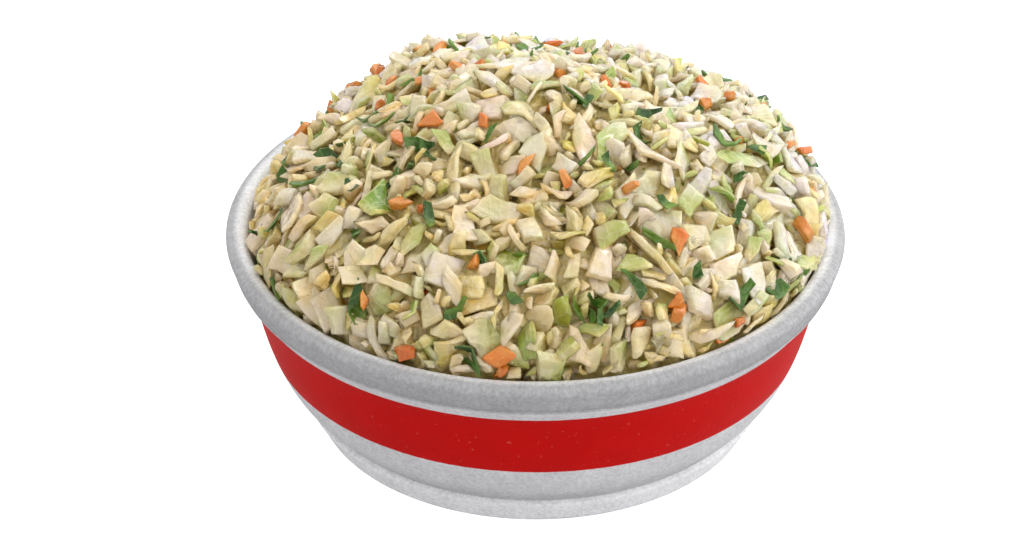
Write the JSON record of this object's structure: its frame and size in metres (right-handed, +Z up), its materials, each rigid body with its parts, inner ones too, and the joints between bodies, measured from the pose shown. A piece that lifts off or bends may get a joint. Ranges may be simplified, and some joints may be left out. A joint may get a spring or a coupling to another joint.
{
  "type": "bowl of coleslaw",
  "caption": "Shallow round foam bowl with a plain coloured band, heaped over its rim with chopped cabbage, leaf and carrot in a thin dressing.",
  "frame": {"origin": "middle of the bowl's foot, on the surface that it stands on", "axes": "+Z up out of the bowl; the bowl is round, so +X and +Y are any two level directions, with -Y towards the viewer"},
  "size_m": [0.117, 0.117, 0.0701],
  "materials": {
    "foam": "white expanded polystyrene foam with a fine bead texture and a printed red band",
    "slaw": "chopped cream, yellow-green and dark green cabbage with orange carrot, wet with dressing"
  },
  "bodies": {
    "root": {"bowl": "foam", "coleslaw": "slaw"}
  },
  "joints": []
}
